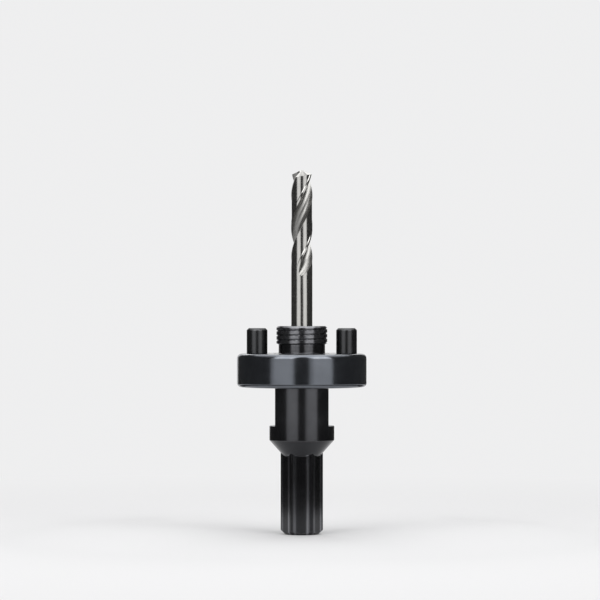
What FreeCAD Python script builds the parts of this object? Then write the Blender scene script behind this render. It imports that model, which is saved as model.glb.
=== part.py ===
import FreeCAD, Part
import math
import os
import Sketcher
from FreeCAD import Placement, Rotation, Vector

# Hole saw arbor: a hexagon shank, a cone and collar, a neck with two flats that
# carries a sliding drive plate with two pins, a short threaded nose, and a pilot
# drill clamped in the middle. Millimetres. The origin is the centre of the
# shank's end face and +Z runs up the axis to the drill's point.

doc = FreeCAD.newDocument("hole_saw_arbor")
sheet = doc.addObject("Spreadsheet::Sheet", "sizes")

# Driving dimensions, one named cell for each size that can be set by itself
driving_sizes = [
    ("hex_across_flats", 11.0),
    ("shank_length", 23.4),
    ("shank_end_chamfer", 1.35),
    ("cone_height", 4.7),
    ("collar_diameter", 19.4),
    ("collar_height", 4.3),
    ("collar_edge_chamfer", 0.3),
    ("neck_length", 21.5),
    ("neck_across_flats", 15.9),
    ("relief_diameter", 13.9),
    ("relief_length", 2.7),
    ("nose_diameter", 15.875),
    ("nose_length", 5.5),
    ("nose_shoulder", 0.5),
    ("nose_chamfer", 0.8),
    ("bore_clearance", 0.05),
    ("bore_mouth_chamfer", 0.4),
    ("bore_spare_depth", 0.3),
    ("bore_point_angle", 118.0),
    ("drill_diameter", 6.35),
    ("drill_length", 80.0),
    ("drill_reach", 46.6),
    ("drill_point_angle", 135.0),
    ("drill_end_chamfer", 0.5),
    ("flute_length", 31.7),
    ("flute_lead", 37.0),
    ("flute_radius", 2.2),
    ("web_thickness", 1.4),
    ("flute_start_angle", -44.0),
    ("runout_length", 5.4),
    ("runout_angle", 25.0),
    ("drill_flat_depth", 0.4),
    ("drill_flat_length", 10.0),
    ("screw_diameter", 6.0),
    ("screw_length", 5.0),
    ("screw_socket", 3.0),
    ("screw_socket_depth", 2.5),
    ("screw_height", 5.7),
    ("screw_clearance", 0.05),
    ("screw_edge", 0.5),
    ("plate_diameter", 38.7),
    ("plate_thickness", 10.0),
    ("plate_top_edge", 1.4),
    ("plate_bottom_edge", 1.2),
    ("slide_clearance", 0.08),
    ("pin_diameter", 6.2),
    ("pin_shank_diameter", 5.0),
    ("pin_inset", 0.34),
    ("pin_reach", 7.6),
    ("pin_recess", 0.3),
    ("pin_chamfer", 0.6),
    ("pin_clearance", 0.02),
    ("ball_diameter", 3.0),
    ("ball_gap", 0.05),
    ("ball_hole_clearance", 0.1),
    ("spring_diameter", 2.7),
    ("spring_wire", 0.4),
    ("spring_coils", 4.0),
    ("detent_screw_diameter", 4.0),
    ("detent_screw_length", 2.8),
    ("detent_screw_socket", 2.0),
    ("detent_screw_socket_depth", 1.5),
    ("detent_screw_recess", 0.3),
]

for row, (alias, number) in enumerate(driving_sizes, start=1):
    sheet.set("A" + str(row), alias.replace("_", " "))
    sheet.set("B" + str(row), str(number))
    sheet.setAlias("B" + str(row), alias)
doc.recompute()


def half(expression):
    """Half of an expression on the sheet, such as a radius from a diameter."""
    return "(" + expression + ") / 2"


def size_of(expression):
    """The number that an expression on the sheet has now."""
    return float(sheet.evalExpression(expression))


# Heights along the axis, each from the one below it
cone_base = "sizes.shank_length"
collar_base = cone_base + " + sizes.cone_height"
collar_top = collar_base + " + sizes.collar_height"
neck_top = collar_top + " + sizes.neck_length"
nose_base = neck_top + " + sizes.relief_length"
nose_top = nose_base + " + sizes.nose_length"
drill_tip = nose_top + " + sizes.drill_reach"
drill_foot = drill_tip + " - sizes.drill_length"
screw_axis_height = collar_top + " + sizes.screw_height"
plate_base = neck_top + " - sizes.plate_thickness"

# Radii that neighbouring pieces share
hex_corner_radius = "sizes.hex_across_flats / sqrt(3)"
hex_flat_radius = half("sizes.hex_across_flats")
collar_radius = half("sizes.collar_diameter")
drill_radius = half("sizes.drill_diameter")
bore_radius = drill_radius + " + sizes.bore_clearance"
screw_hole_radius = half("sizes.screw_diameter") + " + sizes.screw_clearance"
pin_hole_radius = half("sizes.pin_shank_diameter") + " + sizes.pin_clearance"

# The plate's bore and rim, and the pins a little inside the middle of its ring
plate_rim = half("sizes.plate_diameter")
slide_radius = collar_radius + " + sizes.slide_clearance"
slide_flat = half("sizes.neck_across_flats") + " + sizes.slide_clearance"
pin_offset = "((" + slide_flat + " + " + plate_rim + ") / 2 - sizes.pin_inset)"

# The spring-loaded ball at the back of the plate, from the neck outwards
detent_height = plate_base + " + " + half("sizes.plate_thickness")
ball_centre = collar_radius + " + sizes.ball_gap + " + half("sizes.ball_diameter")
spring_mean_radius = half("sizes.spring_diameter - sizes.spring_wire")
ball_to_wire = half("sizes.ball_diameter + sizes.spring_wire")
spring_seat = "sqrt((" + ball_to_wire + ")^2 - (" + spring_mean_radius + ")^2)"
spring_start = ball_centre + " + " + spring_seat
detent_screw_tip = plate_rim + " - sizes.detent_screw_recess - sizes.detent_screw_length"
spring_end = detent_screw_tip + " - " + half("sizes.spring_wire")

# How far a cutting profile runs past the metal that it cuts
overrun = "1"


# How a sketch counts its own axes and origin, and the points of its lines and circles
across_axis = -1
up_axis = -2
sketch_origin = (-1, 1)
first_end = 1
second_end = 2
centre_point = 3


def origin_plane(body, role):
    """A body's own origin plane or axis, such as XY_Plane or Z_Axis."""
    for feature in body.Origin.OriginFeatures:
        if feature.Role == role:
            return feature
    raise ValueError("no origin feature " + role)


def new_body(label):
    body = doc.addObject("PartDesign::Body", label)
    body.Label = label
    return body


def new_sketch(body, name, role, height=None):
    """A sketch on one of the body's origin planes, lifted by an expression."""
    sketch = body.newObject("Sketcher::SketchObject", name)
    sketch.AttachmentSupport = [(origin_plane(body, role), "")]
    sketch.MapMode = "FlatFace"
    if height is not None:
        sketch.setExpression("AttachmentOffset.Base.z", height)
    return sketch


def bind(sketch, kind, places, expression):
    """Add a dimension to a sketch and tie it to an expression on the sheet."""
    index = sketch.addConstraint(Sketcher.Constraint(kind, *places, size_of(expression)))
    sketch.setExpression("Constraints[" + str(index) + "]", expression)


def fix_point(sketch, item, point, across, up):
    """Hold a point of a line or circle at two distances from the sketch's origin."""
    for distance, kind, axis in ((across, "DistanceX", up_axis), (up, "DistanceY", across_axis)):
        if distance == "0":
            sketch.addConstraint(Sketcher.Constraint("PointOnObject", item, point, axis))
        else:
            bind(sketch, kind, (*sketch_origin, item, point), distance)


def draw_outline(sketch, corners):
    """A closed outline of straight lines through corners given as expressions."""
    points = [Vector(size_of(across), size_of(up), 0) for across, up in corners]
    lines = []
    for start, end in zip(points, points[1:] + points[:1]):
        lines.append(sketch.addGeometry(Part.LineSegment(start, end), False))
    for line, following in zip(lines, lines[1:] + lines[:1]):
        sketch.addConstraint(Sketcher.Constraint("Coincident", line, second_end, following, first_end))
    for line, (across, up) in zip(lines, corners):
        fix_point(sketch, line, first_end, across, up)


def draw_circle(sketch, radius, across="0", up="0"):
    """A circle whose centre and radius are expressions."""
    centre = Vector(size_of(across), size_of(up), 0)
    circle = sketch.addGeometry(Part.Circle(centre, Vector(0, 0, 1), size_of(radius)), False)
    bind(sketch, "Radius", (circle,), radius)
    fix_point(sketch, circle, centre_point, across, up)


def draw_hexagon(sketch, across_flats):
    """A regular hexagon with corners on the sketch's first axis."""
    corner = "(" + across_flats + ") / sqrt(3)"
    flat = half(across_flats)
    draw_outline(sketch, [
        (corner, "0"),
        (half(corner), flat),
        ("-" + half(corner), flat),
        ("-" + corner, "0"),
        ("-" + half(corner), "-" + flat),
        (half(corner), "-" + flat),
    ])


def feature(body, kind, name, profile, length=None):
    """A feature of a body made from one of its sketches."""
    made = body.newObject("PartDesign::" + kind, name)
    made.Profile = profile
    if length is not None:
        made.setExpression("Length", length)
    return made


def turned(body, kind, name, corners, role="XZ_Plane", axis="Z_Axis"):
    """Metal added or cut by turning an outline about one of the body's axes."""
    sketch = new_sketch(body, name + "_outline", role)
    draw_outline(sketch, corners)
    made = feature(body, kind, name, sketch)
    made.ReferenceAxis = (origin_plane(body, axis), [""])
    made.Angle = 360
    return made


def circular_edges(shape, radius, height):
    """Names of the round edges of one radius at one height."""
    names = []
    for number, edge in enumerate(shape.Edges, start=1):
        curve = edge.Curve
        if not isinstance(curve, Part.Circle):
            continue
        if abs(curve.Radius - radius) < 1e-6 and abs(curve.Center.z - height) < 1e-6:
            names.append("Edge" + str(number))
    return names


def dress(body, kind, name, base, radius, height, amount):
    """A fillet or chamfer on the round edges of one radius at one height."""
    doc.recompute()
    edges = circular_edges(base.Shape, size_of(radius), size_of(height))
    made = body.newObject("PartDesign::" + kind, name)
    made.Base = (base, edges)
    made.setExpression("Radius" if kind == "Fillet" else "Size", amount)
    return made


def place(item, rotation, along_x="0", along_y="0", along_z="0"):
    """Turn a piece into its place and tie its position to the sheet."""
    item.Placement = Placement(Vector(0, 0, 0), rotation)
    item.setExpression("Placement.Base.x", along_x)
    item.setExpression("Placement.Base.y", along_y)
    item.setExpression("Placement.Base.z", along_z)


upright = Rotation()
z_axis_to_x = Rotation(Vector(0, 1, 0), 90)
z_axis_to_y = Rotation(Vector(1, 0, 0), -90)


def make_arbor_body():
    """Shank, cone, collar, neck and nose, turned and milled from one bar."""
    body = new_body("arbor_body")
    relief_radius = half("sizes.relief_diameter")
    nose_radius = half("sizes.nose_diameter")
    collar_edge = "sizes.collar_edge_chamfer"
    turned(body, "Revolution", "upper_bar", [
        ("0", cone_base),
        (hex_flat_radius, cone_base),
        (collar_radius, collar_base),
        (collar_radius, neck_top + " - " + collar_edge),
        (collar_radius + " - " + collar_edge, neck_top),
        (relief_radius, neck_top),
        (relief_radius, nose_base),
        (nose_radius, nose_base + " + sizes.nose_shoulder"),
        (nose_radius, nose_top + " - sizes.nose_chamfer"),
        (nose_radius + " - sizes.nose_chamfer", nose_top),
        ("0", nose_top),
    ])
    hexagon = new_sketch(body, "shank_hexagon", "XY_Plane")
    draw_hexagon(hexagon, "sizes.hex_across_flats")
    shank_top = cone_base + " + " + half("sizes.cone_height")
    feature(body, "Pad", "shank", hexagon, shank_top)
    turned(body, "Groove", "shank_end_chamfer", [
        (hex_corner_radius + " - sizes.shank_end_chamfer", "0"),
        (hex_corner_radius + " + " + overrun, "0"),
        (hex_corner_radius + " + " + overrun, "sizes.shank_end_chamfer + " + overrun),
    ])
    flats = new_sketch(body, "neck_flats", "XY_Plane", collar_top)
    flat = half("sizes.neck_across_flats")
    clear = collar_radius + " + " + overrun
    draw_outline(flats, [
        (flat, "-(" + clear + ")"),
        (clear, "-(" + clear + ")"),
        (clear, clear),
        (flat, clear),
    ])
    draw_outline(flats, [
        ("-(" + clear + ")", "-(" + clear + ")"),
        ("-" + flat, "-(" + clear + ")"),
        ("-" + flat, clear),
        ("-(" + clear + ")", clear),
    ])
    cut = feature(body, "Pocket", "milled_flats", flats, "sizes.neck_length")
    cut.Reversed = True
    bore_floor = drill_foot + " - sizes.bore_spare_depth"
    floor_cone = bore_floor + " - (" + bore_radius + ") / tan(sizes.bore_point_angle / 2 * 1 deg)"
    mouth = bore_radius + " + sizes.bore_mouth_chamfer"
    turned(body, "Groove", "drill_bore", [
        ("0", floor_cone),
        (bore_radius, bore_floor),
        (bore_radius, nose_top + " - sizes.bore_mouth_chamfer"),
        (mouth, nose_top),
        (mouth, nose_top + " + " + overrun),
        ("0", nose_top + " + " + overrun),
    ])
    screw_hole = new_sketch(body, "screw_hole_circle", "YZ_Plane")
    draw_circle(screw_hole, screw_hole_radius, "0", screw_axis_height)
    hole = feature(body, "Pocket", "screw_hole", screw_hole, collar_radius + " + " + overrun)
    hole.Reversed = True
    return body


def draw_double_d(sketch):
    """A round hole with two flat sides, a little larger than the neck."""
    corner = "sqrt((" + slide_radius + ")^2 - (" + slide_flat + ")^2)"
    reach = size_of(slide_radius)
    turn = math.atan2(size_of(corner), size_of(slide_flat))
    ring = Part.Circle(Vector(0, 0, 0), Vector(0, 0, 1), reach)
    far = sketch.addGeometry(Part.ArcOfCircle(ring, turn, math.pi - turn), False)
    near = sketch.addGeometry(Part.ArcOfCircle(ring, math.pi + turn, 2 * math.pi - turn), False)
    across = size_of(slide_flat)
    up = size_of(corner)
    left = sketch.addGeometry(Part.LineSegment(Vector(-across, up, 0), Vector(-across, -up, 0)), False)
    right = sketch.addGeometry(Part.LineSegment(Vector(across, -up, 0), Vector(across, up, 0)), False)
    for arc in (far, near):
        sketch.addConstraint(Sketcher.Constraint("Coincident", arc, centre_point, *sketch_origin))
        bind(sketch, "Radius", (arc,), slide_radius)
    for line, following in ((far, left), (left, near), (near, right), (right, far)):
        sketch.addConstraint(Sketcher.Constraint("Coincident", line, second_end, following, first_end))
    bind(sketch, "DistanceX", (*sketch_origin, left, first_end), "-(" + slide_flat + ")")
    bind(sketch, "DistanceX", (*sketch_origin, right, first_end), slide_flat)
    for line in (left, right):
        sketch.addConstraint(Sketcher.Constraint("Vertical", line))


def make_drive_plate():
    """Thick disc with a double-D bore that slides on the neck's flats."""
    body = new_body("drive_plate")
    rim = plate_rim
    thickness = "sizes.plate_thickness"
    sketch = new_sketch(body, "disc_outline", "XY_Plane")
    draw_circle(sketch, rim)
    draw_circle(sketch, pin_hole_radius, pin_offset)
    draw_circle(sketch, pin_hole_radius, "-" + pin_offset)
    draw_double_d(sketch)
    disc = feature(body, "Pad", "disc", sketch, thickness)
    top = dress(body, "Fillet", "top_edge", disc, rim, thickness, "sizes.plate_top_edge")
    dress(body, "Fillet", "bottom_edge", top, rim, "0", "sizes.plate_bottom_edge")
    outside = "-(" + rim + " + " + overrun + ")"
    ball_circle = new_sketch(body, "ball_hole_circle", "XZ_Plane", outside)
    ball_hole_radius = half("sizes.ball_diameter") + " + sizes.ball_hole_clearance"
    draw_circle(ball_circle, ball_hole_radius, "0", half(thickness))
    ball_hole = feature(body, "Pocket", "ball_hole", ball_circle, rim + " + " + overrun)
    ball_hole.Reversed = True
    screw_circle = new_sketch(body, "detent_screw_circle", "XZ_Plane", outside)
    tapped_radius = half("sizes.detent_screw_diameter") + " + sizes.screw_clearance"
    draw_circle(screw_circle, tapped_radius, "0", half(thickness))
    tapped_depth = "sizes.detent_screw_length + sizes.detent_screw_recess + sizes.screw_clearance"
    tapped_cut = tapped_depth + " + " + overrun
    screw_hole = feature(body, "Pocket", "detent_screw_hole", screw_circle, tapped_cut)
    screw_hole.Reversed = True
    place(body, upright, along_z=plate_base)
    return body


def make_drive_pin(label, side):
    """One hardened pin: a thinner shank pressed into the plate, a shoulder on top."""
    body = new_body(label)
    radius = half("sizes.pin_diameter")
    shank_radius = half("sizes.pin_shank_diameter")
    seat = "sizes.plate_thickness - sizes.pin_recess"
    tip = seat + " + sizes.pin_reach"
    turned(body, "Revolution", "pin", [
        ("0", "0"),
        (shank_radius, "0"),
        (shank_radius, seat),
        (radius, seat),
        (radius, tip + " - sizes.pin_chamfer"),
        (radius + " - sizes.pin_chamfer", tip),
        ("0", tip),
    ])
    place(body, upright, side + pin_offset, "0", plate_base + " + sizes.pin_recess")
    return body


def make_grub_screw(label, prefix):
    """A headless screw with a hexagon socket; its tip is at its own origin."""
    body = new_body(label)
    radius = half("sizes." + prefix + "_diameter")
    length = "sizes." + prefix + "_length"
    edge = "sizes.screw_edge"
    turned(body, "Revolution", "barrel", [
        ("0", "0"),
        (radius + " - " + edge, "0"),
        (radius, edge),
        (radius, length + " - " + edge),
        (radius + " - " + edge, length),
        ("0", length),
    ])
    socket = new_sketch(body, "socket_hexagon", "XY_Plane", length)
    draw_hexagon(socket, "sizes." + prefix + "_socket")
    feature(body, "Pocket", "socket", socket, "sizes." + prefix + "_socket_depth")
    return body


def helix_cut(body, name, circle, height):
    """A groove cut by carrying a circle up the drill's helix."""
    doc.recompute()
    cut = feature(body, "SubtractiveHelix", name, circle)
    cut.ReferenceAxis = (origin_plane(body, "Z_Axis"), [""])
    cut.Mode = "pitch-height-angle"
    cut.setExpression("Pitch", "sizes.flute_lead")
    cut.setExpression("Height", height)
    return cut


def make_pilot_drill():
    """Twist drill with a round shank, two flutes and a flat for its screw."""
    body = new_body("pilot_drill")
    length = "sizes.drill_length"
    chamfer = "sizes.drill_end_chamfer"
    point_height = "(" + drill_radius + ") / tan(sizes.drill_point_angle / 2 * 1 deg)"
    turned(body, "Revolution", "blank", [
        ("0", "0"),
        (drill_radius + " - " + chamfer, "0"),
        (drill_radius, chamfer),
        (drill_radius, length + " - " + point_height),
        ("0", length),
    ])
    flat_base = screw_axis_height + " - (" + drill_foot + ") - " + half("sizes.drill_flat_length")
    flat = new_sketch(body, "screw_flat_outline", "XY_Plane", flat_base)
    inner = drill_radius + " - sizes.drill_flat_depth"
    outer = drill_radius + " + " + overrun
    draw_outline(flat, [
        (inner, "-(" + outer + ")"),
        (outer, "-(" + outer + ")"),
        (outer, outer),
        (inner, outer),
    ])
    cut = feature(body, "Pocket", "screw_flat", flat, "sizes.drill_flat_length")
    cut.Reversed = True
    flute_base = length + " - sizes.flute_length + sizes.runout_length"
    circle = new_sketch(body, "flute_circle", "XY_Plane", flute_base)
    offset = "(" + half("sizes.web_thickness") + " + sizes.flute_radius)"
    across = offset + " * cos(sizes.flute_start_angle * 1 deg)"
    up = offset + " * sin(sizes.flute_start_angle * 1 deg)"
    draw_circle(circle, "sizes.flute_radius", across, up)
    flute_height = "sizes.flute_length - sizes.runout_length + " + overrun
    flute = helix_cut(body, "flute", circle, flute_height)
    runout = helix_cut(body, "flute_runout", circle, "sizes.runout_length + " + overrun)
    runout.Reversed = True
    runout.setExpression("Angle", "sizes.runout_angle")
    doc.recompute()
    both = body.newObject("PartDesign::PolarPattern", "both_flutes")
    both.Originals = [flute, runout]
    both.Axis = (origin_plane(body, "Z_Axis"), [""])
    both.Angle = 360
    both.Occurrences = 2
    body.Tip = both
    place(body, upright, along_z=drill_foot)
    return body


def make_detent_ball():
    """Steel ball that the spring holds against the neck."""
    ball = doc.addObject("Part::Sphere", "detent_ball")
    ball.Label = "detent_ball"
    ball.setExpression("Radius", half("sizes.ball_diameter"))
    place(ball, upright, "0", ball_centre, detent_height)
    return ball


def make_detent_spring():
    """Small compression spring between the ball and its screw."""
    body = new_body("detent_spring")
    circle = new_sketch(body, "wire_circle", "XZ_Plane")
    draw_circle(circle, half("sizes.spring_wire"), spring_mean_radius)
    doc.recompute()
    coil = feature(body, "AdditiveHelix", "coil", circle)
    coil.ReferenceAxis = (origin_plane(body, "Z_Axis"), [""])
    coil.Mode = "height-turns-angle"
    coil.setExpression("Height", spring_end + " - (" + spring_start + ")")
    coil.setExpression("Turns", "sizes.spring_coils")
    place(body, z_axis_to_y, "0", spring_start, detent_height)
    return body


def check_model():
    """Stop if a feature failed, cut nothing, or left a bad solid."""
    for item in doc.Objects:
        if "Invalid" in item.State or "Error" in item.State:
            raise ValueError(item.Name + " did not build: " + str(item.State))
        if item.TypeId in cutting_features and item.Shape.Volume >= item.BaseFeature.Shape.Volume:
            raise ValueError(item.Name + " cut nothing")
    for piece in pieces:
        if piece.Shape.isNull() or not piece.Shape.isValid() or len(piece.Shape.Solids) != 1:
            raise ValueError(piece.Label + " is not one valid solid")


cutting_features = ("PartDesign::Pocket", "PartDesign::Groove", "PartDesign::SubtractiveHelix")

pieces = [
    make_arbor_body(),
    make_drive_plate(),
    make_drive_pin("drive_pin_left", "-"),
    make_drive_pin("drive_pin_right", ""),
    make_pilot_drill(),
    make_detent_ball(),
    make_detent_spring(),
]

drill_screw = make_grub_screw("drill_set_screw", "screw")
place(drill_screw, z_axis_to_x, drill_radius + " - sizes.drill_flat_depth", "0", screw_axis_height)
detent_screw = make_grub_screw("detent_screw", "detent_screw")
place(detent_screw, z_axis_to_y, "0", detent_screw_tip, detent_height)
pieces.extend([drill_screw, detent_screw])

doc.recompute()
check_model()

os.makedirs("parts", exist_ok=True)
for piece in pieces:
    piece.Shape.exportStep("parts/" + piece.Label + ".step")
    box = piece.Shape.optimalBoundingBox()
    print(piece.Label, round(piece.Shape.Volume, 1), "mm3, z", round(box.ZMin, 2), "to", round(box.ZMax, 2))
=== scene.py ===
# %% [markdown]
# # Dressing a hole saw arbor
# A hole saw has no shank of its own. It screws onto an arbor: a black steel bar with
# a hexagon end for the drill, a sliding plate whose two pins turn the saw, and a
# bright pilot drill that starts the hole. The packed model already holds all nine
# pieces at their real size. It could be painted as it is, but its edges are sharp and
# its thread is missing, so this lesson makes each piece again as a finer surface in
# the same place, gives it a procedural finish, and builds a small photo studio.

import bmesh
import bpy
import numpy as np
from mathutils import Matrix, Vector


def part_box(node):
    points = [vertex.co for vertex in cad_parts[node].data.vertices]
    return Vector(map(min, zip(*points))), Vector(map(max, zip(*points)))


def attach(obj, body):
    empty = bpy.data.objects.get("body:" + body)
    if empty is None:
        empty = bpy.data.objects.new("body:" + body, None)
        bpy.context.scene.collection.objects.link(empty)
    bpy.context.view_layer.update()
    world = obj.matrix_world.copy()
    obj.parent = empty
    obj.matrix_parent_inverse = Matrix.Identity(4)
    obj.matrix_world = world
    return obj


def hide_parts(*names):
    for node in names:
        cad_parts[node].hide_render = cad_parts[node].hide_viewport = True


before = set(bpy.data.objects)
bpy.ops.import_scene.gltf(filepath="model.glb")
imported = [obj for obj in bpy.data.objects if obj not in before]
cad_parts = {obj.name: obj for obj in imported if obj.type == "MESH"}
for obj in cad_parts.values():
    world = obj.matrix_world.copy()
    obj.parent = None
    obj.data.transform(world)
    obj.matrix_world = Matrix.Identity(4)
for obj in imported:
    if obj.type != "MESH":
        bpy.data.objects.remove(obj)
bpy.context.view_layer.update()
print("nodes:", sorted(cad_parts))

# %% [markdown]
# Makers of arbors work in millimetres and Blender in metres. The whole scene could be
# drawn a thousand times too large and shrunk at the end, but then lamps and bumps
# would be the wrong size. Here shapes are worked out in millimetres, and one factor
# turns them into metres when a mesh is made. The main sizes aren't typed again: they
# are read from the boxes of the packed pieces, so each new surface sits where its
# solid sits. Their last digits are float noise and are rounded off.

# %% Sizes read from the frame
MM = 0.001


def box_mm(node):
    """Lowest and highest corner of a packed piece, in millimetres."""
    low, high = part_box(node)
    return np.round(np.array(low) / MM, 4), np.round(np.array(high) / MM, 4)


for node in sorted(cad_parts):
    low, high = box_mm(node)
    print(node, "from", low, "to", high)

# %% [markdown]
# The photograph shows the arbor upright, from straight in front. A camera can be
# matched by eye, turning and zooming until the outlines agree. Two measurements in
# the 600 pixel frame do it at once: how many pixels a millimetre covers, and where
# the arbor's axis and foot fall. The camera stands far back, as a product camera
# does, so that near and far edges keep almost the same scale. The lens then follows
# from the width that the frame has to show at that distance.

# %% Camera
FRAME_PX = 600
PIXELS_PER_MM = 3.35
AXIS_PX = 301.8
FOOT_PX = 534.1
CAMERA_DISTANCE = 0.95

camera_data = bpy.data.cameras.new("camera")
camera_data.sensor_width = 36.0
view_width = FRAME_PX / PIXELS_PER_MM * MM
camera_data.lens = camera_data.sensor_width * CAMERA_DISTANCE / view_width
camera = bpy.data.objects.new("camera", camera_data)
camera_x = (FRAME_PX / 2 - AXIS_PX) / PIXELS_PER_MM * MM
camera_z = (FOOT_PX - FRAME_PX / 2) / PIXELS_PER_MM * MM
camera.location = (camera_x, -CAMERA_DISTANCE, camera_z)
camera.rotation_euler = (np.pi / 2, 0, 0)
bpy.context.scene.collection.objects.link(camera)
bpy.context.scene.camera = camera
print("lens", round(camera_data.lens, 1), "mm, view", round(view_width / MM, 1), "mm wide")

# %% [markdown]
# A finish on real steel is a sum of small things: clouds in the oxide, marks of the
# tool, wear on the edges. Such a sum can be wired by hand in the shader editor, but
# twenty Math nodes are hard to read. `Number` wraps one socket and answers to + - *
# and /, also when it stands on the right, so `1 - mask` is written as it is said and
# the Math nodes appear by themselves.

# %% Numbers that stand in sums


class Number:
    """A socket of a node tree that can stand in a sum."""

    def __init__(self, nodes, socket):
        self.nodes = nodes
        self.socket = socket

    def math(self, operation, *others):
        """One Math node of this number and, after it, the others."""
        values = dict(enumerate([self, *others]))
        return self.nodes.add("ShaderNodeMath", {"operation": operation}, values)

    def math_after(self, first, operation):
        """One Math node of a plain number and, after it, this one."""
        return self.nodes.add("ShaderNodeMath", {"operation": operation}, {0: first, 1: self})

    def __add__(self, other):
        return self.math("ADD", other)

    def __radd__(self, other):
        return self.math_after(other, "ADD")

    def __sub__(self, other):
        return self.math("SUBTRACT", other)

    def __rsub__(self, other):
        return self.math_after(other, "SUBTRACT")

    def __mul__(self, other):
        return self.math("MULTIPLY", other)

    def __rmul__(self, other):
        return self.math_after(other, "MULTIPLY")

    def __truediv__(self, other):
        return self.math("DIVIDE", other)

    def __rtruediv__(self, other):
        return self.math_after(other, "DIVIDE")

    def between(self, low, high):
        """0 below low, 1 above high, and a straight ramp between."""
        ramp = (self - low) / (high - low)
        return ramp.math("MAXIMUM", 0.0).math("MINIMUM", 1.0)


print("a Number answers to + - * /")

# %% [markdown]
# Textures, bumps and colour mixes are nodes too. Made one by one, each takes four or
# five lines, and the links get lost among the settings. Here every node comes from
# one method: it takes the node's type, then the settings that change its sockets, and
# then what each socket gets, by name or by place. A chain of nodes reads like a recipe.

# %% Any node from one method


class Nodes:
    """A node tree whose nodes all come from one method."""

    def __init__(self, tree):
        self.tree = tree

    def feed(self, socket, value):
        """Link a Number to the socket, or give the socket a plain value."""
        if isinstance(value, Number):
            self.tree.links.new(value.socket, socket)
        else:
            socket.default_value = value

    def add(self, kind, settings=None, inputs=None, outputs=(0,)):
        """Any node: its settings first, then its inputs. Returns the outputs asked for."""
        node = self.tree.nodes.new(kind)
        for key, value in (settings or {}).items():
            setattr(node, key, value)
        for key, value in (inputs or {}).items():
            self.feed(node.inputs[key], value)
        made = [Number(self, node.outputs[key]) for key in outputs]
        return made[0] if len(made) == 1 else made


print("Nodes.add makes any node and hands back its outputs")

# %% [markdown]
# A finish is a material with one Principled shader. All the steel here shares a few
# textures, which a node group could hold, but a method can be read at a glance and
# takes other numbers each time. A finish reads places in millimetres on the piece
# itself, so a ring is as wide as a lathe would leave it, and it stays on its piece
# when the plate slides.

# %% Finishes


class Finish(Nodes):
    """A material with one Principled shader."""

    def __init__(self, name):
        self.material = bpy.data.materials.new(name)
        self.material.use_nodes = True
        super().__init__(self.material.node_tree)
        self.shader = self.tree.nodes["Principled BSDF"]

    def set(self, sockets):
        """Give the shader values or links, by the names of its sockets."""
        for key, value in sockets.items():
            self.feed(self.shader.inputs[key], value)

    def place(self):
        """Object coordinates in millimetres: as one vector, and as x, y and z."""
        metres = self.add("ShaderNodeTexCoord", outputs=["Object"])
        to_mm = {"Vector": metres, "Scale": 1 / MM}
        vector = self.add("ShaderNodeVectorMath", {"operation": "SCALE"}, to_mm)
        return vector, self.add("ShaderNodeSeparateXYZ", inputs={"Vector": vector}, outputs="XYZ")

    def vector(self, x, y, z=0.0):
        """Three numbers as one vector."""
        return self.add("ShaderNodeCombineXYZ", inputs={"X": x, "Y": y, "Z": z})

    def noise(self, vector, scale, detail=2.0, roughness=0.5):
        """Soft blotches between 0 and 1, about 1 / scale millimetres apart."""
        return self.add("ShaderNodeTexNoise", inputs={
            "Vector": vector, "Scale": scale, "Detail": detail, "Roughness": roughness})

    def rings(self, x, y, z, scale, detail=3.0, roughness=0.5):
        """Noise at (distance from the Z axis, height): the same all the way round."""
        radius = (x * x + y * y).math("SQRT")
        return self.noise(self.vector(radius, z), scale, detail, roughness)

    def attribute(self, name):
        """A number that the mesh itself carries at each point."""
        return self.add("ShaderNodeAttribute", {"attribute_name": name}, outputs=["Fac"])

    def mix(self, factor, first, second):
        """A colour between two. The node's colour sockets are numbers 6, 7 and 2."""
        settings = {"data_type": "RGBA"}
        return self.add("ShaderNodeMix", settings, {0: factor, 6: first, 7: second}, outputs=[2])

    def bump(self, height, strength, depth_mm):
        """A normal that rises and falls with a height between 0 and 1."""
        return self.add("ShaderNodeBump", inputs={
            "Height": height, "Strength": strength, "Distance": depth_mm * MM})


def shade(tone, factor=1.0):
    """A (red, green, blue) tone made lighter or darker, with full alpha."""
    return tuple(value * factor for value in tone) + (1.0,)


print("finish methods:", ", ".join(name for name in vars(Finish) if not name.startswith("_")))

# %% [markdown]
# No machined edge is perfectly sharp: the tool has a nose, and a sharp edge is broken
# so that it doesn't cut a hand. The thin line of light along such an edge is what
# makes metal look solid. A Bevel modifier would round edges after the mesh is made,
# but it takes one width for all and trips over crowded corners. Here each corner of
# a profile gets its own arc before anything is turned, for every direction round the
# axis at once.

# %% Outlines with rounded corners
LONGEST_ARC = 0.42
SUPPORT = 0.06


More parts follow.
